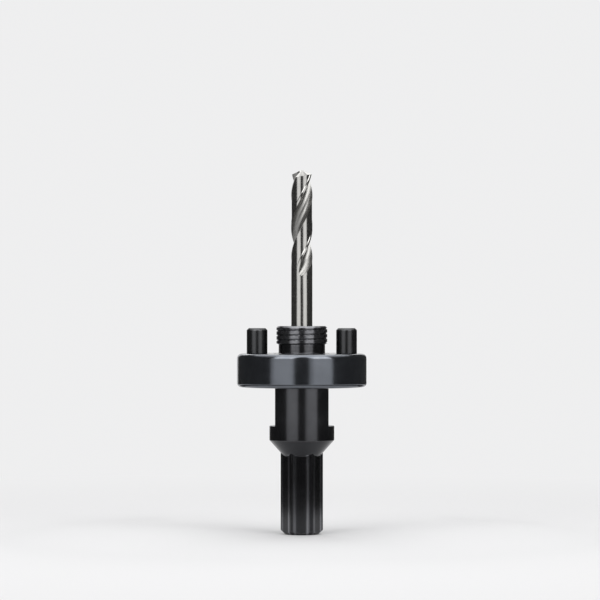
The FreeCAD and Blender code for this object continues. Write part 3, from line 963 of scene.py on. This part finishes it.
def bright_steel(name, tone, roughness, ring_scale, strength, flutes=False):
    """Bare ground metal with fine rings round Z, and rougher flutes with painted shade if it has any."""
    finish = Finish(name)
    vector, (x, y, z) = finish.place()
    marks = finish.rings(x, y, z, ring_scale, detail=4.0, roughness=0.6)
    clouds = finish.noise(vector, 0.5, detail=3.0)
    patches = marks.between(0.3, 0.7) * 0.5 + clouds.between(0.3, 0.7) * 0.5
    colour = finish.mix(patches, shade(tone, 0.86), shade(tone, 1.05))
    rough = roughness + (marks - 0.5) * 0.10 + (clouds - 0.5) * 0.06
    if flutes:
        flute = finish.attribute("flute")
        # Painted shade: the hollows of the flutes are painted darker.
        colour = finish.mix(flute * 0.55, colour, shade(tone, 0.45))
        rough = rough + flute * 0.15
    finish.set({
        "Base Color": colour,
        "Metallic": 1.0,
        "Roughness": rough,
        "Normal": finish.bump(marks, strength, GROUND_RELIEF_MM),
    })
    return finish.material


drill_bright = bright_steel("ground bright drill steel", (0.41, 0.405, 0.39), 0.17, 5.0, 0.25, flutes=True)
ball_bright = bright_steel("polished ball steel", (0.78, 0.78, 0.79), 0.08, 1.5, 0.05)
wire_bright = bright_steel("drawn spring wire", (0.55, 0.55, 0.56), 0.28, 4.0, 0.30)
for material in (drill_bright, ball_bright, wire_bright):
    print(material.name, "has", len(material.node_tree.nodes), "nodes")

# %% [markdown]
# A hardened ball, pressed against the neck by a coil spring, holds the plate where it
# has been slid. A UV sphere would serve as the ball, but a half circle turned round
# the axis uses what is here already. The spring is a wire swept along a helix. A
# curve with a bevel would do that too, though not with its ends squeezed flat as a
# spring's are, so the wire's circles are laid out with numpy.

# %% The ball and its spring
BALL_CENTRE = (ball_low[1] + ball_high[1]) / 2
BALL_ROWS = 41
SPRING_RADIUS = 1.15
WIRE_RADIUS = 0.2
WIRE_SIDES = 12
SPRING_COILS = 4
ROWS_PER_COIL = 24
spring_low, spring_high = box_mm("detent_spring")
SPRING_START = spring_low[1] + WIRE_RADIUS
SPRING_END = spring_high[1] - WIRE_RADIUS

half_turn = np.linspace(-np.pi / 2, np.pi / 2, BALL_ROWS)
ball_angles = directions(count=64)
half_circle = zip(BALL_RADIUS * np.cos(half_turn), BALL_CENTRE + BALL_RADIUS * np.sin(half_turn))
ball_points = around(outlines(half_circle, ball_angles), ball_angles)
ball_mesh = grid_mesh("detent_ball_polished", ball_points, along="y", at=(0, 0, DETENT_HEIGHT))
show("detent_ball_polished", ball_mesh, "plate", "detent_ball", ball_bright)


def coil_spring():
    """A wire swept along a helix round Z, as (rows, sides of the wire, 3).

    The helix is radius (cos turn, sin turn) at a height that grows evenly with the
    turn, except for half a flat turn at each end. The wire's circle is outward
    cos side + across sin side: outward points away from the axis, and across is at
    right angles to it and to the helix. A pole closes each end.
    """
    turn = np.linspace(0, 2 * np.pi * SPRING_COILS, ROWS_PER_COIL * SPRING_COILS + 1)
    share = np.clip((turn - np.pi) / (turn[-1] - 2 * np.pi), 0, 1)
    outward = np.stack([np.cos(turn), np.sin(turn), 0 * turn], axis=1)
    middle = outward * SPRING_RADIUS
    middle[:, 2] = SPRING_START + (SPRING_END - SPRING_START) * share
    tangent = np.gradient(middle, axis=0)
    tangent /= np.linalg.norm(tangent, axis=1, keepdims=True)
    across = np.cross(tangent, outward)
    side = np.linspace(0, 2 * np.pi, WIRE_SIDES, endpoint=False)[:, None]
    circle = outward[:, None] * np.cos(side) + across[:, None] * np.sin(side)
    tube = middle[:, None] + circle * WIRE_RADIUS
    poles = np.repeat(middle[[0, -1], None], WIRE_SIDES, axis=1)
    return np.concatenate([poles[:1], tube, poles[1:]])


spring_mesh = grid_mesh(
    "detent_coil_spring", coil_spring(), sharp_over=60, along="y", at=(0, 0, DETENT_HEIGHT))
show("detent_coil_spring", spring_mesh, "plate", "detent_spring", wire_bright)

# %% [markdown]
# The pilot drill is the hardest piece, so it takes several steps. It starts as a
# round rod. A grinding wheel, whose edge is a circle in the cross section, cuts two
# flutes along a right-hand helix and leaves a thin web between them. At the lower end
# the wheel is drawn out of the rod, so the flutes get shallower and stop. The rod
# could be cut by Booleans with two twisted tools, but the surface would be a tangle
# of slivers. Sweeping the cross section keeps one column of points on every edge.

# %% Sizes of the pilot drill
DRILL_RADIUS = drill_high[0]
DRILL_FOOT = drill_low[2]
DRILL_TIP = drill_high[2]
FOOT_CHAMFER = 0.5
WEB = 1.4
FLUTE_RADIUS = 2.2
FLUTE_CENTRE = WEB / 2 + FLUTE_RADIUS
FLUTE_LEAD = 37.0
FLUTE_START = np.radians(-44)
RUNOUT_BASE = DRILL_TIP - 31.7
RUNOUT_TOP = RUNOUT_BASE + 5.4
RUNOUT_SLOPE = np.tan(np.radians(25))
FLAT_X = grub_low[0]
FLAT_LOW = SCREW_HEIGHT - 5.0
FLAT_HIGH = SCREW_HEIGHT + 5.0
flute_length = DRILL_TIP - RUNOUT_BASE
print("flutes", round(flute_length, 2), "mm long, with", round(flute_length / FLUTE_LEAD, 2), "of a turn")

# %% [markdown]
# Half of the cross section is one flute and one land, and the other half is the same
# half a turn on. A fresh drill doesn't rub the hole with its whole land: behind the
# cutting edge only a narrow margin stands at full size, and the rest is ground back a
# tenth of a millimetre. The bright line of the margin is what makes a drill look
# like a drill, so it is part of the section here and not a painted stripe.

# %% The cross section
FLUTE_COLUMNS = 26
LAND_COLUMNS = 44
MARGIN_WIDTH = 0.65
LAND_RELIEF = 0.11
RELIEF_RAMP = 0.12
RELIEF_FADE = 1.2


def half_section(centre):
    """Angles and radii of a flute and a land, one row for each place of the wheel.

    centre is the distance from the drill's axis to the middle of the wheel's circle.
    By the cosine rule, that circle meets the rod's at an angle whose cosine is
    (rod^2 + centre^2 - wheel^2) / (2 rod centre). Points of the flute run round the
    wheel's circle and points of the land round the rod's. Where the wheel no longer
    reaches the rod, the points of the flute fall together on the rod.
    """
    centre = centre[:, None]
    cosine = (DRILL_RADIUS**2 + centre**2 - FLUTE_RADIUS**2) / (2 * DRILL_RADIUS * centre)
    edge = np.arccos(np.clip(cosine, -1, 1))
    gone = centre >= DRILL_RADIUS + FLUTE_RADIUS
    reach = np.arctan2(DRILL_RADIUS * np.sin(edge), centre - DRILL_RADIUS * np.cos(edge))
    sweep = reach * np.linspace(-1, 1, FLUTE_COLUMNS)
    x = centre - FLUTE_RADIUS * np.cos(sweep)
    y = FLUTE_RADIUS * np.sin(sweep)
    flute_angle = np.where(gone, 0, np.arctan2(y, x))
    flute_radius = np.where(gone, DRILL_RADIUS, np.hypot(x, y))

    heel = np.where(gone, 0, edge)
    land_angle = heel + (np.pi - 2 * heel) * np.linspace(0, 1, LAND_COLUMNS + 2)[1:-1]
    from_lip = (np.pi - heel - land_angle) * DRILL_RADIUS
    from_heel = (land_angle - heel) * DRILL_RADIUS
    past_margin = np.clip((from_lip - MARGIN_WIDTH) / RELIEF_RAMP, 0, 1)
    before_heel = np.clip(from_heel / RELIEF_RAMP, 0, 1)
    depth_share = np.clip((FLUTE_CENTRE + RELIEF_FADE - centre) / RELIEF_FADE, 0, 1)
    land_radius = DRILL_RADIUS - LAND_RELIEF * past_margin * before_heel * depth_share
    return np.hstack([flute_angle, land_angle]), np.hstack([flute_radius, land_radius])


_, full_section = half_section(np.array([FLUTE_CENTRE]))
print("web", round(full_section.min() * 2, 2), "mm thick in a rod of", DRILL_RADIUS * 2, "mm")

# %% [markdown]
# Going up the drill, each row of points is the section at that height, turned with
# the helix. Rows are close together where there are flutes and few on the plain
# shank. The flat that the grub screw presses on is a milled face, so every point
# beyond its plane is moved back onto it. Two close rows at each of its ends keep its
# steps square.

# %% The rod, its flutes and its flat
ROW_STEP = 0.22
WALL_LEFT = 1.2
STEP_HEIGHT = 0.002
SHANK_ROWS = [55.0, 62.0, 69.0]
POINT_ANGLE = np.radians(135)
POINT_DROP = 1 / np.tan(POINT_ANGLE / 2)


def flute_turn(height):
    """How far the flutes are turned: one full turn for each lead of height."""
    return FLUTE_START + (np.maximum(height, RUNOUT_BASE) - RUNOUT_TOP) * 2 * np.pi / FLUTE_LEAD


def section_points(angle, radius, height, turn):
    """x = radius cos(angle + turn) and y = radius sin(angle + turn), at a height."""
    radius, height = np.broadcast_arrays(radius, height)
    return np.stack([radius * np.cos(angle + turn), radius * np.sin(angle + turn), height], axis=2)


flat_rows = [FLAT_LOW - STEP_HEIGHT, FLAT_LOW, FLAT_HIGH, FLAT_HIGH + STEP_HEIGHT]
flute_rows = np.arange(RUNOUT_BASE, DRILL_TIP - DRILL_RADIUS * POINT_DROP - WALL_LEFT, ROW_STEP)
heights = np.concatenate([[DRILL_FOOT, DRILL_FOOT + FOOT_CHAMFER], flat_rows, SHANK_ROWS, flute_rows])
wheel_centre = FLUTE_CENTRE + np.maximum(RUNOUT_TOP - heights, 0) * RUNOUT_SLOPE
angle, radius = half_section(wheel_centre)
radius[0] -= FOOT_CHAMFER
angle, radius = np.hstack([angle, angle + np.pi]), np.hstack([radius, radius])
rod = section_points(angle, radius, heights[:, None], flute_turn(heights)[:, None])
flat = (heights >= FLAT_LOW) & (heights <= FLAT_HIGH)
rod[flat, :, 0] = np.minimum(rod[flat, :, 0], FLAT_X)
print("rod:", rod.shape[0], "rows of", rod.shape[1], "points")

# %% [markdown]
# The point is ground at 135 degrees. A plain cone couldn't cut: behind each lip the
# metal must fall away, or its heel would ride on the work. So the height of the cone
# depends on how far a point lies behind its lip, and the chisel edge in the middle
# comes by itself where the two halves meet. Inside a flute there is nothing to grind.
# There the height only has to lead from one heel to the next lip, which it does in a
# short blend. The wall below is filled up with rows that follow the helix.

# %% The point
LIP_RELIEF = np.tan(np.radians(11))
BLEND_TURN = np.radians(16)
WALL_STEPS = 7
RIM_SHARE = 0.97
POINT_STEPS = 13

half = angle[-1, : FLUTE_COLUMNS + LAND_COLUMNS]
in_flute = np.arange(half.size) < FLUTE_COLUMNS
lip = np.pi - half[FLUTE_COLUMNS - 1]
blend = np.where(in_flute, np.clip(half / BLEND_TURN + 0.5, 0, 1), 1)
behind_lip = np.tile(np.maximum((lip - half) * blend, 0), 2)

share_out = np.concatenate([[1.0], np.linspace(RIM_SHARE, 0, POINT_STEPS)])[:, None]
cone_height = DRILL_TIP - radius[-1] * share_out * (POINT_DROP + LIP_RELIEF * behind_lip)
rim_height = cone_height[0]
cone = section_points(angle[-1], radius[-1] * share_out, cone_height, flute_turn(rim_height))

share_up = np.linspace(0, 1, WALL_STEPS + 1)[1:-1, None]
wall_height = heights[-1] + (rim_height - heights[-1]) * share_up
wall = section_points(angle[-1], radius[-1], wall_height, flute_turn(wall_height))
print("rim of the point between", round(rim_height.min(), 2), "and", round(rim_height.max(), 2), "mm up")

# %% [markdown]
# Foot, rod, wall and cone are rows of the same columns, so stacking them is all it
# takes to close the drill. The same grid says where the flutes are, and that goes to
# the finish as an attribute. It could be found in the shader from the distance to
# the axis, but near the run-out a shallow flute is hardly closer to the axis than the
# relieved land, so the mesh knows it better.

# %% The whole pilot drill
foot = np.zeros((1, rod.shape[1], 3))
foot[..., 2] = DRILL_FOOT
drill_points = np.concatenate([foot, rod, wall, cone])
has_flutes = drill_points[:, 0, 2] >= RUNOUT_BASE
has_flutes[-len(cone):] = False
flutes = np.outer(has_flutes, np.tile(in_flute, 2)).astype(float)
drill_mesh = grid_mesh("ground_pilot_drill", drill_points, flutes, mark="flute", sharp_over=24)
show("ground_pilot_drill", drill_mesh, "arbor", "pilot_drill", drill_bright)

# %% [markdown]
# Black metal has almost no colour of its own. What the camera sees is the studio in
# it, so the lamps are as much a part of the picture as the piece. Point lamps would
# give hard sparks. A soft box is a rectangle of light, and on turned steel it shows
# as a long even band. In front there are two boxes on each side, a strong high one
# and a weak one near the floor that reaches the hexagon. Two more behind draw the
# outlines, and a large one above lights the floor. The table gives for each box its
# azimuth and elevation in degrees, its distance, width and height in metres, and its
# power in watts.

# %% Lamps
AIM_HEIGHT = 0.055
BACK_POWER = 0.7
lamps = {
    "box_left_low": (-33, 4, 0.80, 0.50, 0.20, 0.20),
    "box_left_high": (-33, 36, 0.80, 0.50, 0.60, 2.5),
    "box_right_low": (37, 4, 0.80, 0.49, 0.20, 0.21),
    "box_right_high": (37, 36, 0.80, 0.49, 0.60, 2.7),
    "box_back_left": (-158, 38, 0.80, 0.34, 0.50, BACK_POWER),
    "box_back_right": (158, 38, 0.80, 0.34, 0.50, BACK_POWER),
    "box_top": (0, 89, 0.75, 0.80, 0.80, 3.6),
}


def soft_box(name, azimuth, elevation, distance, width, height, power):
    """A rectangle of light that faces the middle of the arbor.

    Azimuth 0 is the camera's side and 90 the right of the picture. The lamp stands at
    distance (sin azimuth cos elevation, -cos azimuth cos elevation, sin elevation).
    """
    data = bpy.data.lights.new(name, "AREA")
    data.shape = "RECTANGLE"
    data.size = width
    data.size_y = height
    data.energy = power
    lamp = bpy.data.objects.new(name, data)
    turn, rise = np.radians(azimuth), np.radians(elevation)
    out = distance * np.cos(rise)
    lamp.location = (out * np.sin(turn), -out * np.cos(turn), AIM_HEIGHT + distance * np.sin(rise))
    lamp.rotation_euler = (np.pi / 2 - rise, 0, turn)
    lamp.visible_camera = False
    bpy.context.scene.collection.objects.link(lamp)


for lamp_name, settings in lamps.items():
    soft_box(lamp_name, *settings)
print(len(lamps), "soft boxes,", round(sum(settings[-1] for settings in lamps.values()), 2), "watts in all")

# %% [markdown]
# In a room that is pale all round, bright steel looks like grey plastic. A
# photographer stands black cards just outside the picture, and the metal shows them
# as crisp dark stripes beside the light ones. The cards here are curved walls round
# the arbor: tall ones far out, low ones nearer that hide the pale floor from the
# metal, and one low strip close by for the foot. The camera doesn't see them, they
# cast no shadow and take no light from the floor, so only reflections show them.

# %% Dark cards
CARD_STEPS = 24
CARD_FOOT = 0.0005
TALL_CARD = {"radius": 0.62, "low": 0.0, "high": 0.6}
LOW_CARD = {"radius": 0.30, "low": CARD_FOOT, "high": 0.034}
NEAR_CARD = {"radius": 0.09, "low": CARD_FOOT, "high": 0.022}
card_finish = Finish("dark studio card")
card_finish.set({"Base Color": shade((0.03, 0.03, 0.03)), "Roughness": 0.9})


def card(name, azimuth_from, azimuth_to, radius, low, high):
    """A curved upright card, at radius (sin azimuth, -cos azimuth)."""
    turn = np.radians(np.linspace(azimuth_from, azimuth_to, CARD_STEPS + 1))
    x, y = radius * np.sin(turn), -radius * np.cos(turn)
    points = np.stack([np.stack([x, y, 0 * x + level], axis=1) for level in (low, high)])
    first = np.arange(CARD_STEPS)
    above = first + CARD_STEPS + 1
    faces = np.stack([first, first + 1, above + 1, above], axis=1)
    mesh = bpy.data.meshes.new(name)
    mesh.from_pydata(points.reshape(-1, 3).tolist(), [], faces.tolist())
    mesh.materials.append(card_finish.material)
    piece = bpy.data.objects.new(name, mesh)
    bpy.context.scene.collection.objects.link(piece)
    piece.visible_camera = False
    piece.visible_diffuse = False
    piece.visible_shadow = False


for side, azimuth_from, azimuth_to in (("left", -156, -56), ("front", -13, 13), ("right", 56, 166)):
    card("card_tall_" + side, azimuth_from, azimuth_to, **TALL_CARD)
    card("card_low_" + side, azimuth_from, azimuth_to, **LOW_CARD)
card("card_near", -150, 150, **NEAR_CARD)

# %% [markdown]
# The arbor stands on a pale floor, which has to keep its shadow and yet become one
# with the background. A floor that only reflects light would be grey in the distance,
# and one that only glows would swallow the shadow. This one is a plain pale surface
# near the arbor and turns bit by bit into a glow of the background's colour. The
# blend is the curve 3t^2 - 2t^3, which starts and ends level, so no ring is seen.

# %% The floor
PALE = (0.86, 0.86, 0.865)
FLOOR_TONE = (0.67, 0.67, 0.675)
FLOOR_RADIUS = 4.0
FLOOR_SIDES = 96
BLEND_START_MM = 40
BLEND_END_MM = 330

floor_finish = Finish("pale studio floor")
floor_finish.set({"Base Color": shade(FLOOR_TONE), "Roughness": 0.8})
_, (x, y, _) = floor_finish.place()
t = (x * x + y * y).math("SQRT").between(BLEND_START_MM, BLEND_END_MM)
smooth_step = t * t * (3 - 2 * t)
glow = floor_finish.add("ShaderNodeEmission", inputs={"Color": shade(PALE), "Strength": 1.0})
surface = Number(floor_finish, floor_finish.shader.outputs[0])
blended = floor_finish.add("ShaderNodeMixShader", inputs={0: smooth_step, 1: surface, 2: glow})
floor_finish.feed(floor_finish.tree.nodes["Material Output"].inputs["Surface"], blended)

rim = np.linspace(0, 2 * np.pi, FLOOR_SIDES, endpoint=False)
floor_points = np.stack([np.cos(rim), np.sin(rim), 0 * rim], axis=1) * FLOOR_RADIUS
floor_mesh = bpy.data.meshes.new("studio_floor")
floor_mesh.from_pydata(floor_points.tolist(), [], [tuple(range(FLOOR_SIDES))])
floor_mesh.materials.append(floor_finish.material)
floor = bpy.data.objects.new("studio_floor", floor_mesh)
bpy.context.scene.collection.objects.link(floor)
print("floor", FLOOR_RADIUS * 2, "m wide")

# %% [markdown]
# The world is the pale background itself. If it lit the arbor at full strength, all
# shadows would be washed out. Light Path tells what kind of ray meets the world: the
# camera, reflections and glass see it at full strength, and for all other rays it is
# a weak light that only fills the shadows. The view transform Standard shows a colour
# as it is written.

# %% The world
FILL_STRENGTH = 0.4
world = bpy.data.worlds.new("pale world")
world.use_nodes = True
bpy.context.scene.world = world
world_nodes = Nodes(world.node_tree)
camera_ray, glossy_ray, transmission_ray = world_nodes.add(
    "ShaderNodeLightPath", outputs=["Is Camera Ray", "Is Glossy Ray", "Is Transmission Ray"])
seen = (camera_ray + glossy_ray + transmission_ray).between(0.0, 1.0)
background = world.node_tree.nodes["Background"]
world_nodes.feed(background.inputs["Color"], shade(PALE))
world_nodes.feed(background.inputs["Strength"], FILL_STRENGTH + seen * (1 - FILL_STRENGTH))
bpy.context.scene.view_settings.view_transform = "Standard"
print("the world lights with", FILL_STRENGTH, "and is seen at 1")

# %% [markdown]
# Every shown piece now rides on its body.
